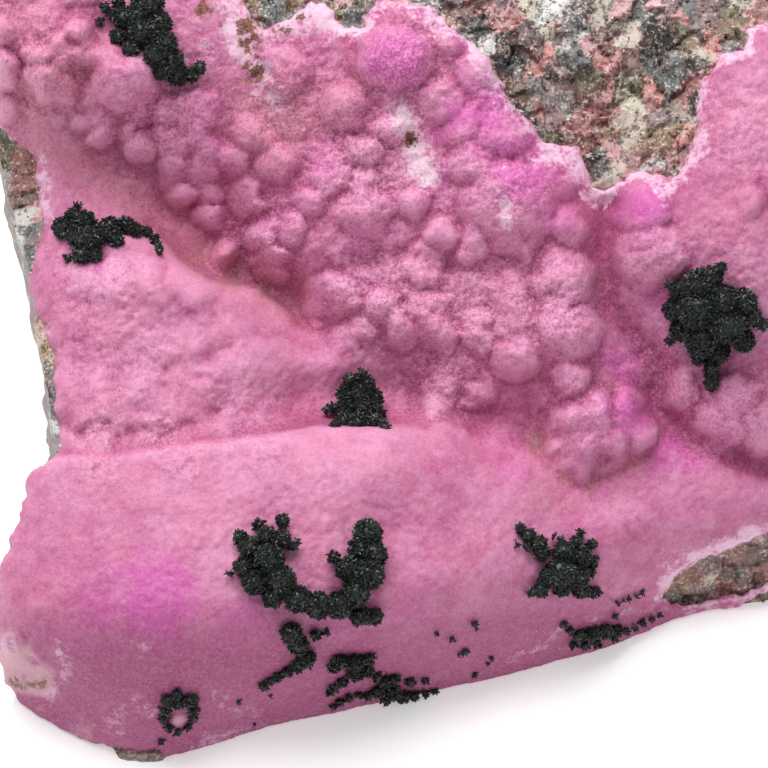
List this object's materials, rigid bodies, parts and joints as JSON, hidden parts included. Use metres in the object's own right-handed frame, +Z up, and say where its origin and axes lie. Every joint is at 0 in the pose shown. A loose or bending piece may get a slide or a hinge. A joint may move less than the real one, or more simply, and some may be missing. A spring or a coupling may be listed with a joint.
{
  "type": "cobaltoan calcite specimen",
  "caption": "Pink cobaltoan calcite crust over a wedge of grey-brown matrix rock, with dark malachite tufts on its front and slopes.",
  "frame": {"origin": "centre of the bounding box's underside, on the flat face that the specimen rests on", "axes": "+X along the specimen's length, to the right as the crusted face is seen; +Z up; the crusted face leans back from -Y"},
  "size_m": [0.1004, 0.078, 0.0455],
  "materials": {
    "matrix": "rough grey-brown host rock with rusty and pale patches",
    "calcite": "fine sugary pink crystals, dull with tiny sparkles",
    "malachite": "near-black green blades with glassy sparkles"
  },
  "bodies": {
    "root": {"matrix_rock": "matrix", "calcite_crust": "calcite", "malachite_tuft_top_left": "malachite", "malachite_tuft_left": "malachite", "malachite_tuft_centre": "malachite", "malachite_tuft_right": "malachite", "malachite_tuft_front_fork": "malachite", "malachite_tuft_front_star": "malachite", "malachite_tuft_front_knot": "malachite", "malachite_tuft_front_patch": "malachite", "malachite_tuft_front_arc": "malachite", "malachite_tuft_front_streak": "malachite", "malachite_tuft_front_ring": "malachite"}
  },
  "joints": []
}
